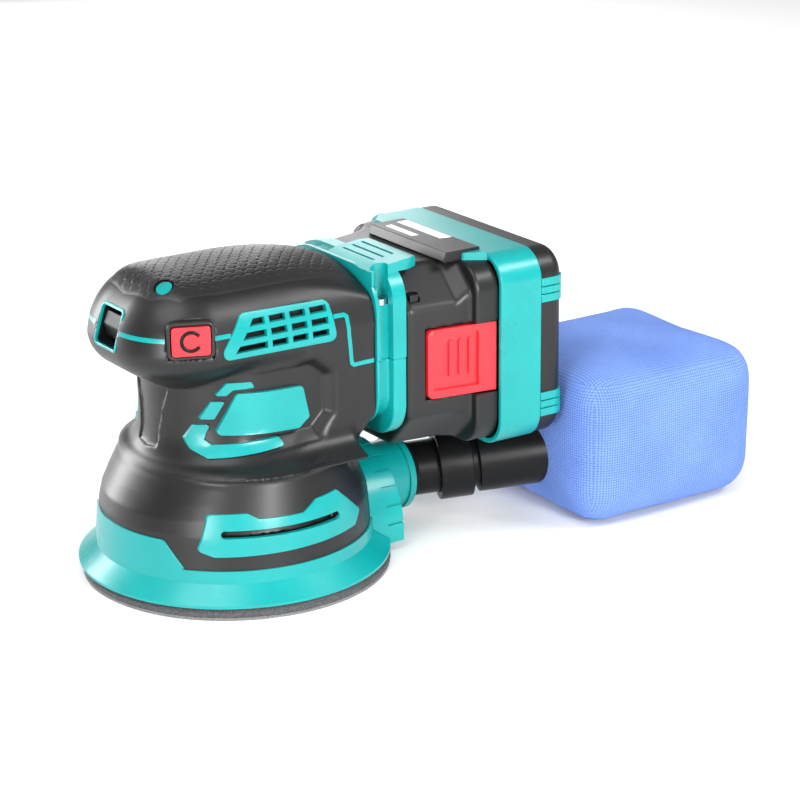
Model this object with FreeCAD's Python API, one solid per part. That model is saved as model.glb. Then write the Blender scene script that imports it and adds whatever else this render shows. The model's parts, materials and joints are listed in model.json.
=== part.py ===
import FreeCAD, Part
import math
import os

V = FreeCAD.Vector
os.makedirs("parts", exist_ok=True)

# Cordless 125 mm palm sander-polisher with a slide-on battery and a dust bag.
# Millimetres. The origin is on the motor's axis, in the plane of the pad's working face.
# -Y is the nose, +Y the battery and the bag, +X the side with the mode button, +Z is up.

# ---------------------------------------------------------------- driving dimensions
PAD_R = 62.5            # standard 125 mm pad
ORBIT = 1.25            # offset of the pad's axis from the motor's axis
GAP = 0.3               # clearance between pieces on different bodies
WALL = 2.6              # housing wall
SKIRT_R = 63.2          # outer radius of the skirt's lip
SKIRT_Z = 4.8           # underside of the skirt's lip
BODY_R = 55.0           # dust chamber, outside
BODY_TOP = 53.0         # crease where the chamber meets the waist
HEAD_HALF = 37.5        # half the width of the head
HEAD_FRONT = 54.5       # the nose, measured forwards from the motor's axis
HEAD_CORNER = 30.0      # round of the nose's corners, seen from above
HEAD_TOP = 127.8        # crown of the head
HEAD_ROUND = 27.5       # round of the head's top edge
CROWN = (150.0, 72.0)   # radii of the crown's doming, lengthways and crossways
CROWN_Y = 2.0           # the crown is level up to here and falls behind it
NOSE_FACE = 54.9        # front of the window bezel, measured forwards
MOUNT_Y = 45.0          # front face of the battery mount
BATT_Y = 58.0           # front face of the battery
BATT_D = 71.0           # battery depth, along Y
BATT_X = (-47.5, 50.0)  # the battery's two ends, along X
BATT_Z = (41.5, 122.0)  # battery underside and top
PARTING_Z = 108.0       # parting line of the two housing shells at the nose
MOUNT_SEAM_Z = 86.0     # seam between the two halves of the battery mount
PORT_Z = 21.0           # axis of the dust port
PORT_R = 14.6           # outer radius of the port's collar
PIPE_R = 11.5           # dust pipe
PIPE_TURN = 24.0        # degrees that the pipe bends towards +X
PIPE_RISE = 0.08        # climb of the pipe per unit of run
BAG = ((-24.0, 131.5, 0.5), (63.5, 223.0, 69.5))
BATT_BACK = BATT_Y + BATT_D


# ---------------------------------------------------------------- shape helpers
def box(x, y, z):
    """Box from its three (low, high) pairs."""
    return Part.makeBox(x[1] - x[0], y[1] - y[0], z[1] - z[0], V(x[0], y[0], z[0]))


def cyl(r, low, high, x=0.0, y=0.0):
    return Part.makeCylinder(r, high - low, V(x, y, low))


def tube(ro, ri, low, high, x=0.0, y=0.0):
    return cyl(ro, low, high, x, y).cut(cyl(ri, low - 1, high + 1, x, y))


def cyl_y(r, low, high, x, z):
    return Part.makeCylinder(r, high - low, V(x, low, z), V(0, 1, 0))


def cyl_x(r, low, high, y, z):
    return Part.makeCylinder(r, high - low, V(low, y, z), V(1, 0, 0))


def rounded_wire(pts, radii):
    """Closed wire through pts with each corner turned into an arc."""
    if isinstance(radii, (int, float)):
        radii = [radii] * len(pts)
    ends = []
    for i, p in enumerate(pts):
        a = (pts[i - 1] - p).normalize()
        b = (pts[(i + 1) % len(pts)] - p).normalize()
        half = a.getAngle(b) / 2
        cut = radii[i] / math.tan(half)
        mid = (a + b).normalize() * (radii[i] / math.sin(half) - radii[i])
        ends.append((p + a * cut, p + mid, p + b * cut))
    edges = []
    for i, (start, mid, stop) in enumerate(ends):
        edges.append(Part.Arc(start, mid, stop).toShape())
        nxt = ends[(i + 1) % len(ends)][0]
        if stop.distanceToPoint(nxt) > 1e-4:
            edges.append(Part.makeLine(stop, nxt))
    return Part.Wire(edges)


def slab(pts, axis, low, high, radii=0.0):
    """Outline in the plane across axis, pulled from low to high along it."""
    lift = {"x": lambda a, b: V(low, a, b), "y": lambda a, b: V(a, low, b), "z": lambda a, b: V(a, b, low)}
    way = {"x": V(1, 0, 0), "y": V(0, 1, 0), "z": V(0, 0, 1)}
    corners = [lift[axis](a, b) for a, b in pts]
    if radii:
        wire = rounded_wire(corners, radii)
    else:
        wire = Part.makePolygon(corners + corners[:1])
    return Part.Face(wire).extrude(way[axis] * (high - low))


def lathe(pts, x=0.0):
    """Closed (radius, height) outline turned about a vertical axis."""
    ring = [V(x + r, 0, z) for r, z in pts]
    return Part.Face(Part.makePolygon(ring + ring[:1])).revolve(V(x, 0, 0), V(0, 0, 1), 360)


def fuse(shapes):
    out = shapes[0]
    for s in shapes[1:]:
        out = out.fuse(s)
    return out.removeSplitter()


def around(shape, count, x=0.0, start=0.0):
    """Copies of shape spaced evenly about a vertical axis."""
    out = []
    for i in range(count):
        c = shape.copy()
        c.rotate(V(x, 0, 0), V(0, 0, 1), start + 360.0 * i / count)
        out.append(c)
    return out


def mirrored(shape):
    return shape.mirror(V(0, 0, 0), V(1, 0, 0))


def save(name, shape):
    """Write one node: every solid of shape, each as its own piece."""
    parts = [shape] if not isinstance(shape, list) else shape
    solids = [s for p in parts for s in p.Solids]
    whole = solids[0] if len(solids) == 1 else Part.makeCompound(solids)
    print(name, len(solids), round(sum(s.Volume for s in solids)), all(s.isValid() for s in solids))
    whole.exportStep("parts/%s.step" % name)


# ---------------------------------------------------------------- outer form of the housing
def dee(z, half, front, back):
    """Level outline: half an oval in front, straight sides, flat back."""
    pts = []
    for i in range(17):
        t = math.pi * i / 16
        pts.append(V(half * math.cos(t), -front * math.sin(t), z))
    curve = Part.BSplineCurve()
    curve.interpolate(pts, InitialTangent=V(0, -1, 0), FinalTangent=V(0, 1, 0))
    corners = [V(-half, 0, z), V(-half, back, z), V(half, back, z), V(half, 0, z)]
    return Part.Wire([curve.toShape()] + [Part.makeLine(p, q) for p, q in zip(corners, corners[1:])])


def oval(z, half, front):
    """Level outline: a closed oval about the motor's axis."""
    if half > front:
        curve = Part.Ellipse(V(half, 0, z), V(0, front, z), V(0, 0, z))
    else:
        curve = Part.Circle(V(0, 0, z), V(0, 0, 1), half)
    return Part.Wire(curve.toShape())


def head_plan(z, inset):
    """Level outline of the head: flat nose, large round corners, straight sides."""
    half, front, r = HEAD_HALF - inset, HEAD_FRONT - inset, max(HEAD_CORNER - inset, 1.0)
    pts = [V(-half, 60, z), V(-half, -front, z), V(half, -front, z), V(half, 60, z)]
    return rounded_wire(pts, [0.5, r, r, 0.5])


def crown(inset):
    """Large dome that trims the top of the head: level in front, falling towards the back."""
    long_r, cross_r = CROWN
    rear = Part.makeTorus(long_r - cross_r, cross_r - inset, V(0, CROWN_Y, HEAD_TOP - long_r), V(1, 0, 0))
    front = cyl_y(cross_r - inset, -90, CROWN_Y, 0, HEAD_TOP - cross_r)
    return front.fuse(rear.common(box((-90, 90), (CROWN_Y, 90), (0, 140))))


def head_solid(inset):
    """Palm-sized head: it widens from the waist, stands upright, and its top edge is one large round."""
    rows = [(81.0, 17.0), (91.6, 2.5), (99.0, 0.0)]
    under = Part.makeLoft([head_plan(z, less + inset) for z, less in rows], True, True)
    top = HEAD_TOP - inset
    block = Part.Face(head_plan(99.0, inset)).extrude(V(0, 0, top - 99.0))
    rim = [e for e in block.Edges if e.BoundBox.ZMin > top - 0.01 and e.BoundBox.YMin < 50]
    return under.fuse(block.makeFillet(HEAD_ROUND - inset, rim).common(crown(inset)))


BASE_CONE = [(36.0, 52.6, 52.6), (42.0, 51.0, 49.4), (48.0, 49.4, 45.8), (BODY_TOP, 47.8, 42.0)]
WAIST = [(BODY_TOP, 47.7, 41.8), (55.0, 43.4, 40.4), (58.0, 39.4, 39.0), (62.0, 36.4, 38.0),
         (67.0, 34.9, 37.5)]


def base_solid(inset):
    """Dust chamber: a drum that turns into an oval cone and ends at the crease."""
    r = BODY_R - inset
    drum = lathe([(0, 11.8), (r, 11.8), (r, 17.0), (r - 1.0, 30.0), (r - 2.4, 36.0), (0, 36.0)])
    cone = Part.makeLoft([oval(z, a - inset, b - inset) for z, a, b in BASE_CONE], True, True)
    return drum.fuse(cone)


def waist_solid(inset):
    """Concave flare from the crease up to the slim waist."""
    rows = WAIST + [(92.0, 34.7, 37.4)]
    return Part.makeLoft([dee(z, a - inset, b - inset, 34.0) for z, a, b in rows], True, True)


COLUMN = [(22, 98), (29, 92), (30.5, 84), (30.5, 70), (27, 59), (16, 53), (0, 50), (0, 40),
          (22, 40), (31, 48.5), (MOUNT_Y, 62.5), (60, 77), (60, 98)]


def column_solid(inset):
    """Upright block behind the waist that carries the battery mount."""
    half = HEAD_HALF - 0.5 - inset
    return slab(COLUMN, "x", -half, half, [5, 5, 8, 12, 12, 14, 2, 1, 8, 8, 1, 1, 1])


def outer_form(inset):
    form = base_solid(inset).fuse([waist_solid(inset), head_solid(inset), column_solid(inset)])
    return form.common(box((-80, 80), (-80, MOUNT_Y - max(inset, 0)), (0, 140)))


# ---------------------------------------------------------------- housing, trims and panels
def tilted(shape, angle, place):
    """Put a shape drawn about its own origin, facing +X, onto the side of the head."""
    shape.rotate(V(0, 0, 0), V(0, 0, 1), angle)
    shape.translate(place)
    return shape


def stripe(pts, width):
    """Band of constant width along a path in the side view, across the whole object."""
    pieces = []
    for (y0, z0), (y1, z1) in zip(pts, pts[1:]):
        run = math.hypot(y1 - y0, z1 - z0)
        ny, nz = -(z1 - z0) / run * width / 2, (y1 - y0) / run * width / 2
        corners = [(y0 + ny, z0 + nz), (y1 + ny, z1 + nz), (y1 - ny, z1 - nz), (y0 - ny, z0 - nz)]
        pieces.append(slab(corners, "x", -70, 70))
    for y, z in pts[1:-1]:
        pieces.append(cyl_x(width / 2, -70, 70, y, z))
    return fuse(pieces)


SLOT_PANEL = [(-39, 25.2), (-34.3, 39.2), (-21.5, 39.6), (-17.6, 37.2), (0.5, 36.8), (7.2, 40.6),
              (18.5, 41.1), (31.5, 29.0), (27.5, 24.2), (-34.2, 23.0)]
SIDE_PANEL = [(-15.8, 82.8), (12.0, 81.6), (14.8, 68.4), (9.6, 65.0), (-23.8, 66.4)]
UPPER_TILE = [(-23.2, 82.2), (-19.2, 87.2), (-10.2, 87.0), (-9.0, 84.6), (-17.0, 84.4), (-19.4, 82.2)]
MIDDLE_TILE = [(-28.2, 72.6), (-24.4, 79.8), (-20.0, 79.8), (-23.6, 72.8)]
LOWER_TILE = [(-29.6, 70.2), (-25.0, 70.4), (-27.2, 64.6), (-25.0, 62.6), (0.0, 63.4), (1.6, 60.2),
              (-27.6, 57.8), (-31.4, 60.6), (-32.4, 64.6)]
VENT_PANEL = [(-27.0, 99.0), (-14.0, 115.2), (24.4, 114.4), (26.8, 98.0)]
PARTING = [(-60, PARTING_Z), (31, PARTING_Z - 0.6), (33.4, 86.4), (50, 86.6)]
BUTTON_AT = V(34.2, -36.0, PARTING_Z + 0.2)
BUTTON_TURN = -23.0
PLUG_AT = (15.5, -36.5)


def side_piece(outline, radii, skin, thick=(-0.8, 1.2), grow=0.0):
    """Piece that lies in the surface made by skin(inset), on the +X side, seen as outline from there."""
    wire = rounded_wire([V(15, y, z) for y, z in outline], radii)
    face = Part.Face(wire)
    if grow:
        face = face.makeOffset2D(grow)
    return skin(thick[0]).cut(skin(thick[1])).common(face.extrude(V(60, 0, 0)))


def vent_windows():
    """Three rows of four slots; the first of each row follows the panel's slanted edge."""
    cuts = []
    for row in range(3):
        z0, z1 = 100.9 + 4.6 * row, 103.5 + 4.6 * row
        lean = 13.0 / 16.2
        y_low, y_high = -20.5 + lean * (z0 - 99), -20.5 + lean * (z1 - 99)
        cuts.append(slab([(y_low, z0), (-4.6, z0), (-4.6, z1), (y_high, z1)], "x", 20, 50))
        for y0, y1 in ((-2.6, 4.6), (6.6, 13.6), (15.6, 23.2)):
            cuts.append(box((20, 50), (y0, y1), (z0, z1)))
    return Part.makeCompound(cuts)


def button_frame(grow, low, high):
    half_y, half_z = 7.4 + grow, 5.7 + grow
    corners = [(-half_y, -half_z), (half_y, -half_z), (half_y, half_z), (-half_y, half_z)]
    return tilted(slab(corners, "x", low, high, 1.2 + grow), BUTTON_TURN, BUTTON_AT)


def make_housing():
    outer = outer_form(0.0)
    inner = outer_form(WALL).fuse(cyl(BODY_R - WALL, 5, 14))
    shell = outer.cut(inner)

    # everything that sits in the shell's surface gets a pocket
    slot_pocket = side_piece(SLOT_PANEL, 1.6, base_solid, (-2.0, 1.2), 0.25)
    slot_way = cyl_x(1.5, 20, 60, -30, 31.8).fuse(cyl_x(1.5, 20, 60, 16.5, 31.8))
    slot_way = slot_way.fuse(box((20, 60), (-30, 16.5), (30.3, 33.3)))
    vent_pocket = side_piece(VENT_PANEL, 3.0, head_solid, (-2.0, 1.3), 0.25)
    pockets = [slot_pocket, slot_way, vent_pocket, vent_windows()]
    for outline, radius in TRIMS:
        pockets.append(side_piece(outline, radius, waist_solid, (-2.0, 1.2), 0.25))
    both = pockets + [mirrored(p) for p in pockets]
    both.append(button_frame(1.9, -8, 8))
    both.append(box((-9.5, 9.5), (-60, -40), (99.8, 116.4)))
    both.append(cyl_y(12.2, 30, 60, 0, PORT_Z))
    both.append(cyl(1.9, 115, 140, *PLUG_AT).fuse(cyl(3.3, 121.6, 140, *PLUG_AT)))
    both.append(box((-18, 18), (40, 47), (80, 102)))
    for cut in both:
        shell = shell.cut(cut)

    # the stripe lies in the parting line of the two shells
    skin = outer_form(-0.12).cut(outer_form(1.2))
    groove = stripe(PARTING, 1.7)
    trim = skin.common(groove).common(shell_zone())
    shell = shell.cut(skin.common(groove))
    high = [(-70, PARTING_Z), (31, PARTING_Z - 0.6), (33.4, 86.4), (60, 86.6), (60, 140), (-70, 140)]
    above = slab(high, "x", -70, 70)
    upper = shell.common(above)
    lower = shell.cut(above)

    # the soft grip is let into the crown
    pad = slab([(-29, -45), (29, -45), (29, 60), (-29, 60)], "z", 112, 140, [22, 22, 3, 3])
    lift = head_solid(-0.25).cut(head_solid(1.4))
    grip = lift.common(pad).common(box((-80, 80), (-80, MOUNT_Y), (100, 140)))
    plug_hole = cyl(3.6, 110, 140, *PLUG_AT)
    grip = grip.cut(plug_hole)
    upper = upper.cut(head_solid(-2.0).cut(head_solid(1.4)).common(pad).cut(plug_hole))
    save("lower_housing", lower)
    save("upper_housing", upper)
    save("palm_grip", grip)
    save("parting_trim", [piece for piece in trim.Solids if piece.Volume > 1.0])


def shell_zone():
    """Where the stripe shows: it stops at the window, the button and the vent panels."""
    zone = box((-80, 80), (-80, MOUNT_Y), (80, 130))
    for cut in (box((-9.6, 9.6), (-60, -40), (99, 117)), button_frame(2.0, -8, 8)):
        zone = zone.cut(cut)
    vent = slab(VENT_PANEL, "x", -70, 70, 3.0)
    return zone.cut(vent)


TRIMS = [(SIDE_PANEL, 1.6), (UPPER_TILE, 0.5), (MIDDLE_TILE, 0.5), (LOWER_TILE, 0.7)]


def make_side_trims():
    slot_cut = cyl_x(1.5, 20, 60, -30, 31.8).fuse(cyl_x(1.5, 20, 60, 16.5, 31.8))
    slot_cut = slot_cut.fuse(box((20, 60), (-30, 16.5), (30.3, 33.3)))
    right = {
        "slot_panels": [side_piece(SLOT_PANEL, 1.4, base_solid).cut(slot_cut)],
        "vent_panels": [side_piece(VENT_PANEL, 2.8, head_solid, (-0.7, 1.3)).cut(vent_windows())],
        "side_panels": [side_piece(SIDE_PANEL, 1.6, waist_solid, (-1.0, 1.2))],
        "side_tiles": [side_piece(outline, r, waist_solid) for outline, r in TRIMS[1:]],
    }
    for name, pieces in right.items():
        save(name, pieces + [mirrored(p) for p in pieces])
    plug = cyl(3.1, 121.7, 130, *PLUG_AT).common(head_solid(0.1)).fuse(cyl(1.8, 118.5, 121.7, *PLUG_AT))
    save("grip_plug", plug)


def make_nose():
    """Power rocker in its teal window, and the mode button with its frame."""
    side = [(-NOSE_FACE, 100), (-NOSE_FACE, 116.2), (-44, 116.2), (-44, 100)]
    ring = slab(side, "x", -9.3, 9.3, [1.2, 2.4, 0.2, 0.2])
    ring = ring.cut(box((-6.6, 6.6), (-61, -39), (102.6, 113.8)))
    save("nose_bezel", ring.cut(head_solid(3.0)))
    profile = [(-50.6, 103.0), (-51.8, 108.2), (-49.8, 113.4), (-45.6, 112.6), (-45.6, 103.8)]
    rocker = slab(profile, "x", -6.2, 6.2, [0.6, 2.0, 0.6, 0.4, 0.4]).cut(cyl_x(1.05, -7, 7, -47.5, 108.2))
    save("power_rocker", rocker)
    save("rocker_pin", cyl_x(1.0, -8.4, 8.4, -47.5, 108.2))
    body = box((-8.8, 8.8), (-44.0, -32), (100.4, 116))
    for side in (-1, 1):
        ear = box((6.6, 8.8), (-48.8, -44.0), (105.4, 111.0))
        body = body.fuse(ear if side > 0 else mirrored(ear))
    save("switch_body", body.cut(cyl_x(1.0, -8.4, 8.4, -47.5, 108.2)))

    button = button_frame(0.0, -4.6, 0.9)
    icon = cyl_x(3.7, 0.5, 2.5, 0, 0).cut(cyl_x(2.9, 0.4, 2.6, 0, 0))
    icon = icon.cut(slab([(0, 0), (6, 3.2), (6, -3.2)], "x", 0, 3))
    save("mode_button", button.cut(tilted(icon, BUTTON_TURN, BUTTON_AT)))
    save("button_frame", button_frame(1.8, -3.6, 0.5).cut(button_frame(0.25, -9, 9)))


def make_skirt():
    flare = lathe([(61.7, SKIRT_Z), (SKIRT_R, SKIRT_Z), (SKIRT_R, 5.9), (55.9, 12.1), (55.75, 17.2),
                   (BODY_R + 0.05, 17.2), (BODY_R + 0.05, 11.4), (54.2, 11.4)])
    band = lathe([(BODY_R + 0.05, 17.2), (55.75, 17.2), (54.85, 28.0), (54.2, 28.0)])
    band = band.common(slab([(-35, 17.2), (-27, 28), (27, 28), (35, 17.2)], "y", -60, 0, [0.4, 2, 2, 0.4]))
    save("base_skirt", flare.fuse(band).cut(cyl_y(15.2, 20, 70, 0, PORT_Z)))
    save("pad_brake", tube(54.0, 50.6, 10.2, 11.8))


def make_dust_port():
    """Ribbed cover behind the skirt and the collar that takes the bag's pipe."""
    low, mid, r = 4.2, 9.0, 31.0
    arch = cyl_y(r, 44, 62, 0, mid).common(box((-r, r), (40, 66), (mid, 60)))
    arch = arch.fuse(box((-r, r), (44, 62), (low, mid)))
    outside = lathe([(0, 0), (SKIRT_R + 0.05, 0), (SKIRT_R + 0.05, 5.9), (55.95, 12.15), (55.8, 17.2),
                     (BODY_R, 17.3), (54.1, 30), (52.7, 36), (51.2, 42), (40, 44), (0, 44)])
    for i in range(13):
        turn = math.radians(6 + 14 * i)
        rib = box((-0.5, 0.5), (54.5, 70), (r - 0.9, r + 1))
        rib.rotate(V(0, 0, 0), V(0, 1, 0), 90 - math.degrees(turn))
        rib.translate(V(0, 0, mid))
        arch = arch.cut(rib)
    collar = cyl_y(PORT_R, 62, 79, 0, PORT_Z).fuse(cyl_y(PORT_R + 1.6, 62, 65, 0, PORT_Z))
    collar = collar.fuse(cyl_y(PORT_R + 1.0, 76.2, 79, 0, PORT_Z))
    bore = cyl_y(PORT_R - 2.4, 30, 80, 0, PORT_Z)
    save("dust_port", arch.fuse(collar).cut(outside).cut(bore))


# ---------------------------------------------------------------- battery mount
def mount_plate(half, low, high, y0, y1, near_top, far_top, bottom=13.0):
    pts = [(-half, low), (half, low), (half, high), (-half, high)]
    return slab(pts, "y", y0, y1, [bottom, bottom, near_top, far_top])


RAIL_X = (-35.5, 38.0)
SCREW_X = (-28.0, 33.5)
ROOF = (0.0, 35.0, 67.5)   # the mount's roof over the battery: low x, high x, back edge


def make_mount():
    """Teal mount in two halves, with the rail that the battery slides onto."""
    lip = mount_plate(38.4, 57.6, 122.4, MOUNT_Y, MOUNT_Y + 1.6, 18, 29)
    web = mount_plate(36.6, 59.4, 121.0, MOUNT_Y, 52.5, 16, 28, 12)
    flange = mount_plate(40.2, 51.8, 123.0, 51.5, BATT_Y - GAP, 14, 29, 14)
    under = BATT_Z[1] - CASE_IN + GAP
    roof = slab([(MOUNT_Y, 116), (MOUNT_Y, 121.6), (50, 123.4), (62, 124.8), (ROOF[2] - 0.6, 124.4),
                 (ROOF[2], 123.6), (ROOF[2], under), (57.6, under), (57.6, 116)], "x", ROOF[0], ROOF[1])
    right, back = ROOF[1:]
    roof = roof.cut(slab([(right, 62), (right + 1, 62), (right + 1, back + 2), (right - 4, back + 2)], "z", 110, 130))
    for y in (51.5, 56.0, 60.5):
        roof = roof.cut(box((ROOF[0] + 3, ROOF[1] - 9), (y, y + 1.2), (122.6 + (y - 51.5) * 0.12, 130)))
    body = fuse([lip, web, flange, roof])
    for x in SCREW_X:
        body = body.cut(cyl(3.6, 108.0, 140, x, 49.4)).cut(cyl(1.7, 90, 140, x, 49.4))
    body = body.cut(box((-22, 22), (48.0, 70), (76, 106)))
    body = body.cut(box((-18, 18), (40, 50), (80, 102)))
    save("battery_mount_upper", body.common(box((-80, 80), (30, 80), (MOUNT_SEAM_Z, 140))))
    save("battery_mount_lower", body.common(box((-80, 80), (30, 80), (40, MOUNT_SEAM_Z))))
    save("mount_screws", [cyl(3.2, 108.0, 110.4, x, 49.4).fuse(cyl(1.65, 91, 108.0, x, 49.4))
                          .cut(box((x - 2.2, x + 2.2), (49.0, 49.8), (109.4, 111))) for x in SCREW_X])

    neck = box(RAIL_X, (BATT_Y - GAP, 61.0), (77, 105))
    head = box(RAIL_X, (61.0, 65.0), (72, 110))
    rail = neck.fuse(head).fuse(box((-21.8, 21.8), (50.2, BATT_Y - GAP), (77, 105)))
    rail = rail.cut(box((33.4, 39), (61.4, 66), (79.6, 86.4)))
    save("battery_rail", rail.cut(make_blades(0.0)))
    save("rail_contacts", make_blades(0.0))


def make_blades(grow):
    """Three contact blades that run along the rail."""
    blades = [box((-21.5, 6), (54.0, 69.6), (z - 0.5 - grow, z + 0.5 + grow)) for z in (82.0, 91.0, 100.0)]
    return Part.makeCompound(blades)


# ---------------------------------------------------------------- battery
def batt_outline(shrink, y0, y1, r=12.0):
    left, right = BATT_X[0] + shrink, BATT_X[1] - shrink
    low, high = BATT_Z[0] + shrink, BATT_Z[1] - shrink
    return slab([(left, low), (right, low), (right, high), (left, high)], "y", y0, y1, r)


BAND = (97.0, 117.0)    # the teal band, along Y
CASE_IN = 2.1           # how far the dark case lies inside the band
CELL_R = 8.95
CELL_PITCH = 18.3
CELLS = [(-17.35, 84.4, 3), (-26.5, 100.2, 4), (-17.35, 116.0, 3)]   # first x, y and count of each row
# plan outlines, as (x, y): the case narrows towards the mount on both sides
CASE_PLAN = [(-36.0, 50), (-36.0, BATT_Y), (-45.4, 92.0), (-45.4, 98), (47.9, 98), (40.5, BATT_Y), (40.5, 50)]
ROOM_PLAN = [(-34.5, 67.6), (-42.9, 98), (-42.9, 121), (45.4, 121), (45.4, 97.2), (41.0, 97.0), (36.6, 67.6)]
# the release button slides 4 mm back, under the band
BUTTON_Z = (67.0, 95.6)
BUTTON_PLAN = [(40.0, 66.5), (42.6, 66.5), (47.0, 96.6), (44.3, 96.6)]
POCKET_PLAN = [(39.1, 66.1), (60.0, 66.1), (60.0, 103.0), (44.3, 103.0)]


def make_battery():
    case = batt_outline(CASE_IN, BATT_Y, BAND[0], [12.5, 12.5, 12.5, 20.0])
    case = case.common(slab(CASE_PLAN, "z", 30, 130))
    edges = [e for e in case.Edges if e.BoundBox.YMax < BATT_Y + 0.01]
    case = case.makeChamfer(2.6, edges)
    room = batt_outline(4.6, 67.6, 120, [10.0, 10.0, 10.0, 17.5])
    case = case.cut(room.common(slab(ROOM_PLAN, "z", 30, 130)))
    case = case.cut(box((-60, RAIL_X[1] + 0.5), (50, 60.7), (76.6, 105.4)))
    case = case.cut(box((-60, RAIL_X[1] + 0.5), (60.6, 65.4), (71.6, 110.4)))
    for z in (82.0, 91.0, 100.0):
        case = case.cut(box((-60, 8), (60, 70.2), (z - 1.1, z + 1.1)))
    case = case.cut(box((33.2, 39.3), (60.6, 76), (79.0, 87.0)))
    case = case.cut(box((39.0, 40.8), (66.1, 76), (79.0, 87.0)))
    case = case.cut(slab(POCKET_PLAN, "z", BUTTON_Z[0] - GAP, BUTTON_Z[1] + GAP))
    save("battery_case", case)
    band = batt_outline(0.0, BAND[0], BAND[1]).cut(batt_outline(CASE_IN, BAND[0] - 1, BAND[1] + 1, 10.0))
    save("battery_band", band)
    cap = batt_outline(0.5, BAND[1], BATT_BACK, 11.5)
    rim = [e for e in cap.Edges if e.BoundBox.YMin > BATT_BACK - 0.01]
    cap = cap.makeFillet(5.5, rim).cut(batt_outline(CASE_IN + 1.5, BAND[1] - 1, BATT_BACK - 2.4, 9.0))
    tabs = []
    seats = []
    for end, way in ((BATT_X[0] - 0.2, -1), (BATT_X[1] + 0.2, 1)):
        for z in (57.0, 105.5):
            tab = slab([(end - way * 10, BAND[1]), (end, BAND[1]), (end, BATT_BACK + 0.4),
                        (end - way * 10, BATT_BACK + 0.4)], "z", z - 5, z + 5, [0.5, 0.5, 5.5, 0.5])
            seats.append(tab)
            for dz in (-1.9, 1.3):
                groove = box((-60, 60), (BAND[1], 140), (z + dz, z + dz + 0.6))
                tab = tab.cut(groove.cut(batt_outline(0.9, BAND[1] - 1, BATT_BACK - 0.5, 10.5)))
            tabs.append(tab.cut(batt_outline(0.5 + 1.2, BAND[1] - 1, BATT_BACK - 1.2, 10.5)))
    for seat in seats:
        cap = cap.cut(seat.cut(batt_outline(0.5 + 1.2, BAND[1] - 1, BATT_BACK - 1.2, 10.5)))
    save("battery_cap", cap)
    save("cap_tabs", tabs)

    floor = BATT_Z[1] - CASE_IN
    block = slab([(79.0, floor), (80.4, 124.0), (96.8, 124.0), (96.8, floor)], "x", -19, 35, 0.5)
    save("label_block", block)

    cells = []
    strips = []
    for first, y, count in CELLS:
        for i in range(count):
            cells.append(cyl(CELL_R, 48.2, 113.2, first + CELL_PITCH * i, y))
        last = first + CELL_PITCH * (count - 1)
        for z in (47.8, 113.3):
            strips.append(box((first - 3.5, last + 3.5), (y - 3.5, y + 3.5), (z, z + 0.3)))
    save("battery_cells", cells)
    save("cell_strips", strips)
    contacts = [box((-34.5, 28), (73.2, 74.6), (50, 112))]
    for z in (82.0, 91.0, 100.0):
        for side in (-1, 1):
            contacts.append(box((-20, -6), (67.8, 73.2), (z + side * 1.6 - 0.4, z + side * 1.6 + 0.4)))
    save("battery_board", contacts)

    low, high = BUTTON_Z
    front = [(66.5, low), (100.0, low), (100.0, high), (66.5, high)]
    tray = slab(BUTTON_PLAN, "z", low, high).common(slab(front, "x", 30, 60, [2.4, 0.3, 0.3, 2.4]))
    (x0, y0), (x1, y1) = BUTTON_PLAN[1:3]
    lean = math.degrees(math.atan2(x1 - x0, y1 - y0))
    recess = box((-1.3, 3), (2.6, 22.5), (70.2, 92.8))
    grips = [slab([(y, 75), (y + 1.6, 75), (y + 1.6, 90.4), (y, 90.4)], "x", -1.4, -0.2, 0.7)
             for y in (9.4, 13.8, 18.2)]
    for shape in [recess] + grips:
        shape.rotate(V(0, 0, 0), V(0, 0, 1), -lean)
        shape.translate(V(x0, y0, 0))
    tray = tray.cut(recess)
    for grip in grips:
        tray = tray.fuse(grip)
    save("release_button", tray)
    latch = box((33.8, 37.6), (61.9, 70.2), (79.9, 86.1)).fuse(box((33.8, 40.1), (66.8, 70.2), (79.9, 86.1)))
    save("battery_latch", latch)
    spring = Part.makeCylinder(2.4, 4.4, V(36.6, 70.5, 83), V(0, 1, 0))
    save("latch_spring", spring.cut(Part.makeCylinder(1.7, 6, V(36.6, 70, 83), V(0, 1, 0))))


# ---------------------------------------------------------------- drive
def bearing(name, low, high, r_in, r_out, x=0.0):
    """Ball bearing: saves its outer ring with the balls, and gives back its inner ring."""
    third = (r_out - r_in) / 3.4
    middle = (r_in + r_out) / 2
    ball_r = (r_out - r_in) / 2 - third - 0.05
    count = int(math.pi * middle / (ball_r * 1.35))
    balls = []
    for i in range(count):
        t = 2 * math.pi * i / count
        at = V(x + middle * math.cos(t), middle * math.sin(t), (low + high) / 2)
        balls.append(Part.makeSphere(ball_r, at))
    save(name, [tube(r_out, r_out - third + 0.1, low, high, x)] + balls)
    return tube(r_in + third - 0.1, r_in, low, high, x)


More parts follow.
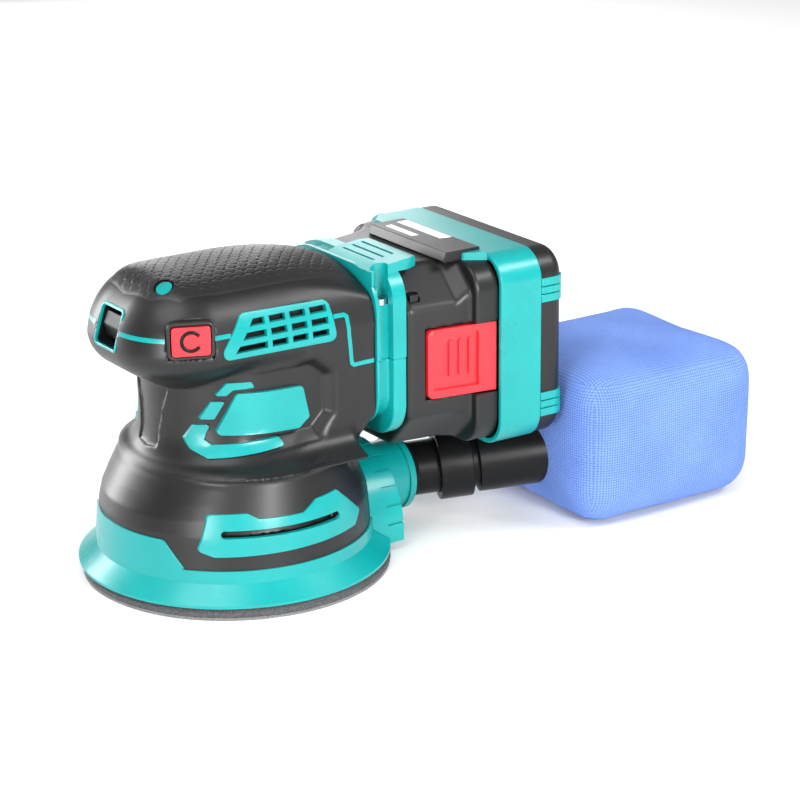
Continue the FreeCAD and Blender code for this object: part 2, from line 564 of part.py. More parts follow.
def make_motor():
    save("motor_shaft", cyl(4.0, 31, 99.5))
    core = tube(23.0, 19.0, 62, 84)
    tooth = box((12.6, 20), (-2.2, 2.2), (62, 84)).fuse(box((12.6, 14.4), (-5.0, 5.0), (62, 84)))
    tooth = tooth.cut(cyl(13.2, 60, 86))
    save("stator_core", core.fuse(around(tooth, 6)).removeSplitter())
    coil = box((14.7, 18.3), (-4.6, 4.6), (60, 86)).cut(box((14, 19), (-2.3, 2.3), (61.9, 84.1)))
    save("stator_coils", around(coil, 6))
    save("motor_can", tube(25.0, 23.05, 58, 94))
    save("rotor_core", tube(11.0, 4.0, 63, 83))
    pole = tube(12.8, 11.0, 63, 83).common(slab([(0, 0), (20, -14.5), (20, 14.5)], "z", 60, 90))
    save("rotor_magnets", around(pole, 4))
    rings = [bearing("upper_bearing", 92.5, 98.5, 4.0, 9.5), bearing("lower_bearing", 50.0, 57.0, 4.0, 11.0)]
    save("shaft_bearing_rings", rings)
    save("upper_bearing_cap", tube(25.0, 10.6, 94.0, 96.0).fuse(tube(12.0, 9.5, 92.5, 98.5)).fuse(
        tube(12.0, 6.8, 98.5, 99.7)))
    plate = tube(40.5, 8.6, 47.8, 50.0).fuse(tube(13.6, 11.0, 50.0, 57.0)).fuse(tube(25.0, 20.0, 50.0, 58.0))
    for post in around(cyl(1.4, 40, 60, 34, 0), 4, 0, 45):
        plate = plate.cut(post)
    save("motor_plate", plate)
    fan = tube(34.0, 8.0, 36.0, 37.6).fuse(tube(8.0, 4.0, 33.5, 46.0))
    for blade in around(slab([(9, 0), (33, 6), (33, 7.4), (9, 1.4)], "z", 37.6, 44.5), 12):
        fan = fan.fuse(blade)
    save("cooling_fan", fan)


def make_pad_drive():
    e = ORBIT
    cup = cyl(17, 17.6, 31.0, e).cut(cyl(13, 17, 27.2, e)).cut(cyl(10.5, 20, 27.8, e))
    hub = tube(9.5, 4.0, 30.9, 33.4)
    cup = cup.fuse(hub).cut(cyl(4.0, 30.9, 40))
    weight = tube(29, 15.5, 20.5, 29.5).common(slab([(0, 0), (-40, -30), (-40, 30)], "z", 20, 30))
    save("eccentric_weight", cup.fuse(weight).cut(cyl(13, 17, 27.2, e)))
    save("pad_bearing_ring", bearing("pad_bearing", 18.2, 27.2, 5.0, 13.0, e))
    spindle = cyl(5.0, 15.5, 27.2, e).fuse(cyl(15.0, 12.4, 15.5, e)).fuse(cyl(6.6, 15.5, 18.2, e))
    holes = around(cyl(1.6, 5, 16, e + 11, 0), 4, e, 45)
    for h in holes:
        spindle = spindle.cut(h)
    save("pad_spindle", spindle)

    dust = around(cyl(5.0, -2, 20, e + 32.5, 0), 8, e, 22.5)
    plate = cyl(48.0, 9.2, 11.2, e).fuse(tube(46.0, 44.0, 11.2, 12.2, e)).fuse(tube(24, 21.6, 11.2, 13.2, e))
    plate = plate.fuse(cyl(15.5, 9.2, 12.4, e))
    foam = lathe([(0, 1.2), (PAD_R - 0.4, 1.2), (PAD_R, 1.8), (PAD_R, 3.2), (PAD_R - 1.6, 4.3),
                  (58.6, 4.4), (53.6, 9.2), (0, 9.2)], e)
    face = cyl(PAD_R - 0.3, 0.0, 1.2, e)
    for h in dust:
        plate, foam, face = plate.cut(h), foam.cut(h), face.cut(h)
    for h in holes:
        plate = plate.cut(h)
    for h in around(cyl(3.2, -1, 9.2, e + 11, 0), 4, e, 45):
        foam, face = foam.cut(h), face.cut(h)
    save("pad_plate", plate)
    save("pad_foam", foam)
    save("hook_face", face)
    screws = around(cyl(1.55, 7.5, 15.2, e + 11, 0).fuse(cyl(3.0, 7.2, 9.2, e + 11, 0)), 4, e, 45)
    save("pad_screws", screws)


def make_electronics():
    bits = [box((-26, 26), (38.6, 40.2), (66, 104))]
    bits += [box((-22 + 9 * i, -16 + 9 * i), (35.8, 38.6), (70, 76)) for i in range(6)]
    bits += [cyl_y(4.0, 27.5, 38.6, x, 97) for x in (-16, 16)]
    save("control_board", bits)
    leads = [cyl_y(1.1, 25.3, 38.4, x, 88.5) for x in (-8, 0, 8)]
    save("power_leads", leads + [cyl_y(1.4, 40.3, 50.1, x, 91.0) for x in (-10, 10)])


# ---------------------------------------------------------------- dust pipe and bag
def make_dust_bag():
    start, turn = V(0, 82.5, PORT_Z), math.radians(PIPE_TURN)
    way = V(math.sin(turn), math.cos(turn), PIPE_RISE).normalize()
    front = BAG[0][1]
    far = (front + 2.0 - start.y) / way.y
    bore = PIPE_R - 1.8
    plug_r = PORT_R - 2.4 - GAP
    elbow = Part.makeSphere(PIPE_R, start).fuse(Part.makeCylinder(PIPE_R, far, start, way))
    pipe = cyl_y(plug_r, 66, 79.4, 0, PORT_Z).fuse(cyl_y(PIPE_R + 1.2, 79.3, 82.5, 0, PORT_Z))
    pipe = pipe.fuse(elbow.common(box((-80, 80), (79.3, 200), (0, 60))))
    hollow = cyl_y(bore, 60, 82.5, 0, PORT_Z).fuse(Part.makeSphere(bore, start))
    pipe = pipe.cut(hollow.fuse(Part.makeCylinder(bore, far + 5, start, way)))
    save("dust_pipe", pipe)

    def ring(ro, a, b):
        solid = Part.makeCylinder(ro, b - a, start + way * a, way)
        return solid.cut(Part.makeCylinder(PIPE_R, b - a + 4, start + way * (a - 2), way))
    save("pipe_clip", ring(PIPE_R + 3.3, 14, 28))
    middle = start + way * (far + 2)
    plate = cyl_y(18.0, front + 3.1, front + 5.3, middle.x, middle.z)
    neck = ring(PIPE_R + 2.3, 31, far + 4).common(box((-60, 80), (80, front + 5.3), (0, 60)))
    save("bag_collar", neck.fuse(plate).cut(Part.makeCylinder(PIPE_R, 80, start, way)))
    (x0, y0, z0), (x1, y1, z1) = BAG
    bag = box((x0, x1), (y0, y1), (z0, z1))
    cavity = box((x0 + 3, x1 - 3), (y0 + 3, y1 - 3), (z0 + 3, z1 - 3))
    mouth = Part.makeCylinder(PIPE_R + 2.4, 30, start + way * (far - 14), way)
    bag = bag.makeFillet(9.0, bag.Edges).cut(cavity.makeFillet(6.5, cavity.Edges))
    save("dust_bag", bag.cut(mouth))


make_housing()
make_side_trims()
make_nose()
make_skirt()
make_dust_port()
make_mount()
make_battery()
make_motor()
make_pad_drive()
make_electronics()
make_dust_bag()
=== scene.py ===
import json
import math

import bmesh
import bpy
import numpy as np
from mathutils import Matrix, Vector


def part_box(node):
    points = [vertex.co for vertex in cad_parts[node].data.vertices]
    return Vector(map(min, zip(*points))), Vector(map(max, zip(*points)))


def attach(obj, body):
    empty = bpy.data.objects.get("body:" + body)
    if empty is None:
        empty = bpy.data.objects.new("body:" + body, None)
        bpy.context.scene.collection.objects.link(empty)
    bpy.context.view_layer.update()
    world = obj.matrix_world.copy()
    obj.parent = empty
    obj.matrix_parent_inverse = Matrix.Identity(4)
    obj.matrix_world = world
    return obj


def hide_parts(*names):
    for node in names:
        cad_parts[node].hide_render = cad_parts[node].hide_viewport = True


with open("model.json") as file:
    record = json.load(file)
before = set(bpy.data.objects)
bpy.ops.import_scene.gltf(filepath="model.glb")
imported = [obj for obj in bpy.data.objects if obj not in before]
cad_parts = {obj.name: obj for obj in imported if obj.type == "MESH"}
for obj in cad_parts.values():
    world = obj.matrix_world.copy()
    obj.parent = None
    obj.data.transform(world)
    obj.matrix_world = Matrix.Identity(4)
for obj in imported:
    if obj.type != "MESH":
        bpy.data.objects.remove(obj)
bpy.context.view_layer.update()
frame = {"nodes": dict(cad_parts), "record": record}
MM = 0.001


# ---------------------------------------------------------------- materials
class Shader:
    """A Principled material, and short names for the nodes that feed it."""

    def __init__(self, name, rough=0.4, metal=0.0, **constants):
        self.mat = bpy.data.materials.new(name)
        self.mat.use_nodes = True
        self.tree = self.mat.node_tree
        self.bsdf = self.tree.nodes["Principled BSDF"]
        self.set(Roughness=rough, Metallic=metal, **constants)
        self.place = self.tree.nodes.new("ShaderNodeTexCoord").outputs

    def set(self, **constants):
        for key, value in constants.items():
            self.bsdf.inputs[key.replace("_", " ")].default_value = value

    def node(self, kind, **inputs):
        made = self.tree.nodes.new(kind)
        for key, value in inputs.items():
            socket = made.inputs[int(key[1:])] if key[1:].isdigit() else made.inputs[key]
            if isinstance(value, bpy.types.NodeSocket):
                self.tree.links.new(value, socket)
            else:
                socket.default_value = value
        return made

    def math(self, operation, a, b=0.0):
        made = self.node("ShaderNodeMath", i0=a, i1=b)
        made.operation = operation
        return made.outputs[0]

    def noise(self, scale, detail=3.0, stretch=(1, 1, 1)):
        where = self.node("ShaderNodeMapping", Vector=self.place["Object"], Scale=stretch).outputs[0]
        return self.node("ShaderNodeTexNoise", Vector=where, Scale=scale, Detail=detail).outputs["Fac"]

    def span(self, value, low, high, to_low, to_high):
        made = self.node("ShaderNodeMapRange", Value=value)
        for name, number in zip(("From Min", "From Max", "To Min", "To Max"), (low, high, to_low, to_high)):
            made.inputs[name].default_value = number
        return made.outputs[0]

    def mix(self, factor, a, b):
        made = self.tree.nodes.new("ShaderNodeMix")
        made.data_type = "RGBA"
        for socket, value in ((made.inputs[0], factor), (made.inputs[6], a), (made.inputs[7], b)):
            if isinstance(value, bpy.types.NodeSocket):
                self.tree.links.new(value, socket)
            else:
                socket.default_value = value
        return made.outputs[2]

    def feed(self, name, socket):
        self.tree.links.new(socket, self.bsdf.inputs[name])

    def bump(self, height, distance, strength=1.0):
        made = self.node("ShaderNodeBump", Height=height, Distance=distance, Strength=strength)
        self.feed("Normal", made.outputs[0])

    def worn(self, dark, light, amount=0.35):
        """Colour that drifts slowly between two tones, with faint scuffs."""
        base = self.mix(self.span(self.noise(55, 4), 0.35, 0.65, 0, 1), dark, light)
        scuff = self.span(self.noise(160, 5, (1, 1, 3)), 0.62, 0.8, 0, amount)
        pale = tuple(min(1, c * 1.3 + 0.02) for c in light[:3]) + (1,)
        self.feed("Base Color", self.mix(scuff, base, pale))


def tone(r, g, b, k=1.0):
    """Linear colour from its usual 0 to 255 display values."""
    lin = [((c / 255 + 0.055) / 1.055) ** 2.4 if c > 10 else c / 3295 for c in (r, g, b)]
    return tuple(min(1.0, c * k) for c in lin) + (1,)


def moulded(name, colour, rough=(0.3, 0.42), grain=2600, depth=0.00004, **constants):
    """Moulded plastic: a slow drift of tone, a fine spark-eroded grain and uneven gloss."""
    s = Shader(name, **constants)
    s.worn(tone(*colour, 0.95), tone(*colour, 1.05), 0.2)
    s.feed("Roughness", s.span(s.noise(38, 4), 0.3, 0.7, *rough))
    s.bump(s.noise(grain, 2), depth, 0.35)
    return s.mat


def brushed(name, colour, rough, stretch=(1, 1, 30)):
    """Bare metal with fine lines, which run across the axis that stretch squeezes most."""
    s = Shader(name, metal=1.0)
    s.feed("Base Color", s.mix(s.noise(90, 3), tone(*colour, 0.75), tone(*colour)))
    lines = s.noise(420, 2, stretch)
    s.feed("Roughness", s.span(lines, 0.2, 0.8, rough - 0.08, rough + 0.12))
    s.bump(lines, 0.00002, 0.4)
    return s.mat


def speckled(name, colour, scale, depth, rough):
    """Open or fibrous surface, such as foam, with a pitted bump; its darker specks sit in the pits, random
    tone mixed with painted shade.
    """
    s = Shader(name, rough=rough)
    # random tone and painted shade: this noise nearly matches the bump's, so the darker specks fall in the
    # pits
    speck_and_pit_shade = s.span(s.noise(scale, 4), 0.4, 0.6, 0, 1)
    s.feed("Base Color", s.mix(speck_and_pit_shade, tone(*colour, 0.55), tone(*colour, 1.25)))
    s.bump(s.noise(scale, 3), depth, 0.9)
    return s.mat


def woven(name, low, high, pitch, depth):
    """Plain weave: threads cross over and under, laid square on whichever way the cloth faces. Its colour
    follows the relief: thread crowns lighter and the hollows between threads darker, which is painted shade.
    """
    s = Shader(name, rough=0.86, Sheen_Weight=0.35, Sheen_Roughness=0.45)
    s.set(Sheen_Tint=tone(*high))
    at = s.node("ShaderNodeSeparateXYZ", Vector=s.place["Object"]).outputs
    facing = s.node("ShaderNodeSeparateXYZ", Vector=s.place["Normal"]).outputs
    nx, ny, nz = (s.math("ABSOLUTE", facing[i]) for i in range(3))
    side = s.math("MULTIPLY", s.math("GREATER_THAN", nx, ny), s.math("GREATER_THAN", nx, nz))
    level = s.math("MULTIPLY", s.math("GREATER_THAN", nz, ny), s.math("GREATER_THAN", nz, nx))

    def choose(flag, yes, no):
        other = s.math("MULTIPLY", s.math("SUBTRACT", 1.0, flag), no)
        return s.math("ADD", s.math("MULTIPLY", flag, yes), other)

    cells = []
    for along in (choose(side, at[1], at[0]), choose(level, at[1], at[2])):
        scaled = s.math("DIVIDE", along, pitch)
        across = s.math("SINE", s.math("MULTIPLY", s.math("FRACT", scaled), math.pi))
        cells.append((s.math("FLOOR", scaled), across))
    (iu, hu), (iv, hv) = cells
    odd = s.math("ABSOLUTE", s.math("MODULO", s.math("ADD", iu, iv), 2.0))
    crown_u = s.math("MULTIPLY", hu, s.math("ADD", 0.55, s.math("MULTIPLY", hv, 0.45)))
    crown_v = s.math("MULTIPLY", hv, s.math("ADD", 0.55, s.math("MULTIPLY", hu, 0.45)))
    height = choose(odd, crown_u, crown_v)
    fuzz = s.noise(1900, 3)
    # painted shade: the colour follows the thread height and the fuzz that also drive the bump, so the
    # hollows between threads are darker; the fuzz adds fibre tone
    weave_shade_and_fibre_tone = s.math("ADD", s.math("MULTIPLY", height, 0.75), s.math("MULTIPLY", fuzz, 0.4))
    patch = s.span(s.noise(34, 3), 0.35, 0.65, -0.08, 0.08)
    s.feed("Base Color", s.mix(s.math("ADD", weave_shade_and_fibre_tone, patch), tone(*low), tone(*high)))
    s.bump(s.math("ADD", height, s.math("MULTIPLY", fuzz, 0.25)), depth, 0.9)
    return s.mat


MATERIALS = {
    "charcoal_plastic": moulded("charcoal_plastic", (20, 20, 21), (0.36, 0.45), Specular_IOR_Level=0.4,
                                Coat_Weight=0.1, Coat_Roughness=0.25),
    "soft_grip": moulded("soft_grip", (26, 26, 27), (0.36, 0.46), 3200, 0.00006, Specular_IOR_Level=0.5),
    "teal_plastic": moulded("teal_plastic", (5, 144, 143), (0.26, 0.34), Specular_IOR_Level=0.42,
                            Coat_Weight=0.12, Coat_Roughness=0.2),
    "red_plastic": moulded("red_plastic", (214, 26, 40), (0.28, 0.38), Coat_Weight=0.3, Coat_Roughness=0.2),
    "gloss_black": moulded("gloss_black", (18, 18, 19), (0.28, 0.36), 1600, 0.00002, Specular_IOR_Level=0.16),
    "dark_nylon": moulded("dark_nylon", (44, 44, 46), (0.42, 0.55), 1800, 0.00008),
    "steel": brushed("steel", (190, 192, 196), 0.3),
    "brass_contact": brushed("brass_contact", (214, 176, 96), 0.28),
    "copper_winding": brushed("copper_winding", (196, 110, 62), 0.35, (1, 1, 90)),
    "aluminium": brushed("aluminium", (178, 180, 184), 0.42, (20, 20, 1)),
    "circuit_board": speckled("circuit_board", (24, 92, 58), 500, 0.00005, 0.45),
    "wire": moulded("wire", (150, 28, 30), (0.4, 0.5)),
    "cell_wrap": moulded("cell_wrap", (64, 128, 86), (0.3, 0.4)),
    "pad_foam": speckled("pad_foam", (74, 75, 77), 1500, 0.00025, 0.85),
    "hook_fabric": speckled("hook_fabric", (120, 121, 122), 2600, 0.0004, 0.9),
    "blue_cloth": woven("blue_cloth", (48, 80, 160), (120, 155, 228), 0.00112, 0.00042),
}
WHITE_PRINT = moulded("white_print", (226, 228, 228), (0.35, 0.45))


def dress(piece, slot):
    piece.data.materials.clear()
    piece.data.materials.append(MATERIALS[slot])


for part in frame["record"]["subparts"]:
    dress(frame["nodes"][part["node"]], part["material_slot"])

# radius in mm of the softened edges of each CAD node that shows
SOFTENED = {
    "battery_mount_upper": 0.9, "battery_mount_lower": 0.9, "battery_band": 0.5, "battery_cap": 0.6,
    "side_panels": 0.7, "side_tiles": 0.35, "slot_panels": 0.5, "vent_panels": 0.35, "base_skirt": 0.35,
    "dust_port": 0.35, "release_button": 0.45, "mode_button": 0.5, "button_frame": 0.5,
    "cap_tabs": 0.3, "label_block": 0.8, "power_rocker": 0.4, "grip_plug": 0.4, "bag_collar": 0.4,
    "pipe_clip": 0.5, "dust_pipe": 0.4, "pad_plate": 0.3, "battery_rail": 0.3,
}
for name, width in SOFTENED.items():
    node = frame["nodes"][name]
    weld = node.modifiers.new("weld", "WELD")
    weld.merge_threshold = 1e-6
    edge = node.modifiers.new("edge", "BEVEL")
    edge.width, edge.segments, edge.limit_method = width * MM, 2, "ANGLE"
    edge.angle_limit, edge.use_clamp_overlap = math.radians(32), True
    node.modifiers.new("normals", "WEIGHTED_NORMAL").keep_sharp = False


# ---------------------------------------------------------------- sculpted solids
def smooth_min(a, b, k):
    """Union of two forms with a fillet about as wide as k."""
    h = np.clip(0.5 + 0.5 * (b - a) / k, 0, 1)
    return b * (1 - h) + a * h - k * h * (1 - h)


def smooth_max(a, b, k):
    """Intersection of two forms with a softened edge about as wide as k."""
    return -smooth_min(-a, -b, k)


def rounded_max(a, b, r):
    """Intersection of two half spaces whose shared edge is an arc of radius r."""
    p, q = a + r, b + r
    return np.minimum(np.maximum(p, q), 0) + np.hypot(np.maximum(p, 0), np.maximum(q, 0)) - r


def polygon(u, v, pts):
    """Signed distance to a closed outline, negative inside."""
    best = np.full(u.shape, 1e9)
    inside = np.zeros(u.shape, bool)
    for (u0, v0), (u1, v1) in zip(pts, pts[1:] + pts[:1]):
        du, dv = u1 - u0, v1 - v0
        t = np.clip(((u - u0) * du + (v - v0) * dv) / (du * du + dv * dv), 0, 1)
        best = np.minimum(best, np.hypot(u - u0 - t * du, v - v0 - t * dv))
        if dv:
            crosses = (v0 > v) != (v1 > v)
            inside ^= crosses & (u < u0 + (v - v0) * du / dv)
    return np.where(inside, -best, best)


def rows(z, table, column):
    """Value at height z, on a curve that passes smoothly through the table's rows."""
    zs = np.array([r[0] for r in table], float)
    vs = np.array([r[column] for r in table], float)
    slope = np.gradient(vs, zs)
    i = np.clip(np.searchsorted(zs, z) - 1, 0, len(zs) - 2)
    h = zs[i + 1] - zs[i]
    t = np.clip((z - zs[i]) / h, 0, 1)
    return ((1 + 2 * t) * (1 - t) ** 2 * vs[i] + t * (1 - t) ** 2 * h * slope[i]
            + t * t * (3 - 2 * t) * vs[i + 1] - t * t * (1 - t) * h * slope[i + 1])


def gradient(field, p, step=0.05):
    """Outward unit normals of the field at the points p."""
    out = np.empty_like(p)
    for axis in range(3):
        d = np.zeros(3)
        d[axis] = step
        out[:, axis] = (field(p + d) - field(p - d)) / (2 * step)
    return out / np.maximum(np.linalg.norm(out, axis=1, keepdims=True), 1e-9)


def surface_net(name, field, low, high, step):
    """Closed quad mesh of the surface where field is zero, in a box that holds it. All in millimetres."""
    axes = [np.arange(a, b + step, step) for a, b in zip(low, high)]
    grid = np.stack(np.meshgrid(*axes, indexing="ij"), -1)
    val = np.concatenate([field(g.reshape(-1, 3)) for g in grid]).reshape(grid.shape[:3])
    cells = tuple(n - 1 for n in val.shape)
    total, count, quads = np.zeros(cells + (3,)), np.zeros(cells), []
    number = np.arange(int(np.prod(cells))).reshape(cells)
    # each grid edge that crosses the surface adds its crossing to the four cells round it, and makes a quad
    for axis in range(3):
        others = [a for a in range(3) if a != axis]
        first = [slice(None)] * 3
        second = [slice(None)] * 3
        first[axis], second[axis] = slice(None, -1), slice(1, None)
        a, b = val[tuple(first)], val[tuple(second)]
        crossing = (a < 0) != (b < 0)
        t = np.where(crossing, a / np.where(crossing, a - b, 1), 0)
        point = grid[tuple(first)].copy()
        point[..., axis] += t * step
        for s0 in (slice(None, -1), slice(1, None)):
            for s1 in (slice(None, -1), slice(1, None)):
                pick = [slice(None)] * 3
                pick[others[0]], pick[others[1]] = s0, s1
                hit = crossing[tuple(pick)]
                total += point[tuple(pick)] * hit[..., None]
                count += hit
        where = np.argwhere(crossing)
        keep = np.all([(where[:, o] > 0) & (where[:, o] < val.shape[o] - 1) for o in others], axis=0)
        where = where[keep]
        corner = []
        for d0, d1 in ((1, 1), (0, 1), (0, 0), (1, 0)):
            at = where.copy()
            at[:, others[0]] -= d0
            at[:, others[1]] -= d1
            corner.append(number[tuple(at.T)])
        quad = np.stack(corner, 1)
        flip = (a[tuple(where.T)] < 0) == (axis == 1)
        quad[flip] = quad[flip][:, ::-1]
        quads.append(quad)
    # a cell's vertex is the mean of its crossings, then pulled onto the surface
    quads = np.concatenate(quads)
    used = count.reshape(-1) > 0
    index = np.cumsum(used) - 1
    verts = (total.reshape(-1, 3)[used]) / count.reshape(-1, 1)[used]
    for _ in range(3):
        push = np.clip(field(verts), -0.4 * step, 0.4 * step)
        verts -= gradient(field, verts) * push[:, None]
    return solid(name, verts, index[quads])


def solid(name, verts, faces, smooth=38.0):
    """Mesh object from vertices in millimetres."""
    mesh = bpy.data.meshes.new(name)
    mesh.from_pydata((np.asarray(verts) * MM).tolist(), [], [[int(i) for i in face] for face in faces])
    mesh.validate()
    for face in mesh.polygons:
        face.use_smooth = True
    mesh.set_sharp_from_angle(angle=math.radians(smooth))
    piece = bpy.data.objects.new(name, mesh)
    bpy.context.scene.collection.objects.link(piece)
    return piece


# ---------------------------------------------------------------- housing
HEAD_HALF, HEAD_FRONT = 37.5, 54.5      # half the head's width, reach of its nose
HEAD_CORNER, HEAD_ROUND = 30.0, 27.5    # rounds of its corners seen from above, and of its top edge
HEAD_TOP, CROWN_Y = 127.8, 2.0          # height of the crown, and where it starts to fall backwards
CROWN_LONG, CROWN_CROSS = 150.0, 72.0   # its radius along the head and across it
HEAD_LOW = 82.6                         # underside of the head
BODY_TOP, BODY_LOW = 53.4, 11.8         # the base's two ends
COLUMN_HALF, COLUMN_EDGE = 37.4, 4.0    # half the column's width, round of its edges
MOUNT_Y = 45.0                          # the housing's back face
PORT_Z, PORT_HOLE = 21.0, 12.2          # dust port: height of its axis, radius of the hole for it
PARTING_Z, NOSE_Z = 108.0, 108.1        # heights of the parting line and of the nose window
RECESS_FLOOR, RECESS_SLOPE = 34.0, 4.5  # side recess: its floor's distance from x = 0, its wall's rise
PANEL_SUNK = 0.9                        # depth of the smooth panel at the waist's front
# how far the head's side is drawn in, at heights z
UNDERCUT = [(82.5, 22.0), (85, 16.0), (88.5, 10.0), (92.5, 4.0), (96.0, 1.2), (99.5, 0.0), (105.0, 0.0)]
# rows of z, half width in x, reach in y
BASE = [(10, 55.2, 55.2), (17, 55.0, 55.0), (30, 54.0, 54.0), (36, 52.6, 52.6),
        (42, 51.0, 49.4), (48, 49.4, 45.8), (56, 46.8, 39.8)]
WAIST = [(50, 56.0, 44.0), (53, 47.7, 41.8), (55, 43.4, 40.4), (58, 39.4, 39.0), (62, 36.4, 38.0),
         (67, 34.9, 37.5), (80, 34.7, 37.4), (95, 34.7, 37.4)]
# outlines seen from the side, as y and z
COLUMN = [(12, 98), (12, 62), (6, 53), (0, 50), (0, 42),
          (22, 42), (31, 48.5), (MOUNT_Y, 62.5), (60, 77), (60, 98)]
RECESS = [(-60, 89.5), (16, 89), (22, 84), (22, 69.5), (16.5, 64), (-60, 61.5)]
VENT_WELL = [(-18.5, 100.6), (-8.0, 113.4), (23.8, 113.2), (23.8, 100.6)]
# outline seen from the front, as x and z
WAIST_PANEL = [(-30, 85.5), (0, 85.5), (12.3, 84.3), (12.3, 82), (9.2, 74),
               (7.6, 66), (7.2, 58), (0, 57), (-30, 57)]
BUTTON_AT, BUTTON_TURN = (34.2, -36.0, 108.2), math.radians(-23)   # mode button, turned about Z
PLUG_AT = (15.5, -36.5)                 # plug in the crown, x and y


def linear(z, table, column):
    """Value at height z, on straight lines between the table's rows."""
    return np.interp(z, [r[0] for r in table], [r[column] for r in table])


def head_field(p):
    """The head: a rounded block, drawn in below, whose crown falls away as a large ring does."""
    x, y, z = np.abs(p[:, 0]), p[:, 1], p[:, 2]
    plan = rounded_max(x - HEAD_HALF, -y - HEAD_FRONT, HEAD_CORNER)
    side = plan + rows(z, UNDERCUT, 1)
    top = rounded_max(side, z - HEAD_TOP, HEAD_ROUND)
    low = HEAD_TOP - CROWN_LONG
    falling = np.hypot(y - CROWN_Y, z - low) - (CROWN_LONG - CROWN_CROSS)
    ring = np.where(y > CROWN_Y, falling, z - HEAD_TOP + CROWN_CROSS)
    top = smooth_max(top, np.hypot(x, ring) - CROWN_CROSS, 1.5)
    return smooth_max(top, HEAD_LOW - z, 2.0)


def body_field(p):
    """Base, waist, column and head as one blended form, symmetric about x = 0."""
    x, y, z = np.abs(p[:, 0]), p[:, 1], p[:, 2]
    a, b = linear(z, BASE, 1), linear(z, BASE, 2)
    base = (np.hypot(x / a, y / b) - 1) * b
    back_round = 12.0 * np.clip((y - 16) / 18, 0, 1)
    base = rounded_max(base, z - BODY_TOP, 0.9 + back_round)
    base = smooth_max(base, BODY_LOW - z, 0.6)
    half, front = rows(z, WAIST, 1), rows(z, WAIST, 2)
    waist = (np.where(y < 0, np.hypot(x / half, y / front), x / half) - 1) * half
    panel = np.clip(-polygon(x, z, WAIST_PANEL) / PANEL_SUNK, 0, 1) * (y < 0)
    waist = smooth_max(waist + PANEL_SUNK * panel, y - 34, 3.0)
    waist = smooth_max(waist, np.abs(z - 73) - 21.5, 1.0)
    column = smooth_max(polygon(y, z, COLUMN), x - COLUMN_HALF, COLUMN_EDGE)
    form = smooth_min(smooth_min(base, waist, 2.4), column, 5.0)
    wall = np.clip(x - RECESS_FLOOR, 0, RECESS_SLOPE)
    recess = np.maximum(polygon(y, z, RECESS) - wall, RECESS_FLOOR - x)
    form = smooth_max(form, -recess, 1.6)
    form = smooth_min(form, head_field(p), 2.4)
    return smooth_max(form, y - MOUNT_Y, 0.6)


def housing_field(p):
    """The body with its wells: vents, slots, nose window, mode button, plug and dust port."""
    form = body_field(p)
    x, y, z = p[:, 0], p[:, 1], p[:, 2]
    ax = np.abs(x)
    off_x, off_y = x - BUTTON_AT[0], y - BUTTON_AT[1]
    turn_x = off_x * math.cos(BUTTON_TURN) + off_y * math.sin(BUTTON_TURN)
    turn_y = off_y * math.cos(BUTTON_TURN) - off_x * math.sin(BUTTON_TURN)
    vent = np.maximum(polygon(y, z, VENT_WELL), 32.6 - ax)
    slot = np.maximum(np.abs(y + 6.8) - 24.0, np.abs(z - 31.8) - 1.9)
    slot = np.maximum(slot, np.maximum(-4.0 - form, 20 - ax))
    window = np.maximum(np.maximum(ax - 7.8, np.abs(z - NOSE_Z) - 7.2), y + 44.5)
    button = np.maximum(np.abs(turn_y) - 9.0, np.abs(z - BUTTON_AT[2]) - 7.3)
    button = np.maximum(button, -3.8 - turn_x)
    plug = np.maximum(np.hypot(x - PLUG_AT[0], y - PLUG_AT[1]) - 3.5, 121.6 - z)
    port = np.maximum(np.hypot(x, z - PORT_Z) - PORT_HOLE, 38 - y)
    for well in (vent, slot, window, button, plug, port):
        form = np.maximum(form, -well)
    return form


def on_surface(field, start, way, far, tries=26):
    """Where rays from inside the form leave it."""
    near_t, far_t = np.zeros(len(start)), np.full(len(start), float(far))
    for _ in range(tries):
        mid = (near_t + far_t) / 2
        inside = field(start + way * mid[:, None]) < 0
        near_t, far_t = np.where(inside, mid, near_t), np.where(inside, far_t, mid)
    return start + way * near_t[:, None]


def make_housing():
    """Both halves of the housing as one skin, cut open where the trims sit."""
    skin = surface_net("housing_shells", housing_field,
                       low=(-57, -57, 10.4), high=(57, 47, 129.2), step=0.85)
    dress(skin, "charcoal_plastic")
    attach(skin, "housing")
    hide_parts("lower_housing", "upper_housing")


def ribbon(centre, width, rise):
    """Strip that stands rise above the body; centre holds (start, way, across) for each of its points."""
    start, way, across = (np.array(c, float) for c in zip(*centre))
    lines = []
    for offset, lift in ((-0.5, -0.8), (-0.5, rise), (0, rise + 0.03), (0.5, rise), (0.5, -0.8)):
        at = on_surface(body_field, start + across * offset * width, way, 70)
        lines.append(at + gradient(body_field, at) * lift)
    n, m = len(lines[0]), len(lines)
    verts = np.stack(lines, 1).reshape(-1, 3)
    faces = [(i * m + j, i * m + j + 1, (i + 1) * m + j + 1, (i + 1) * m + j)
             for i in range(n - 1) for j in range(m - 1)]
    return verts, faces


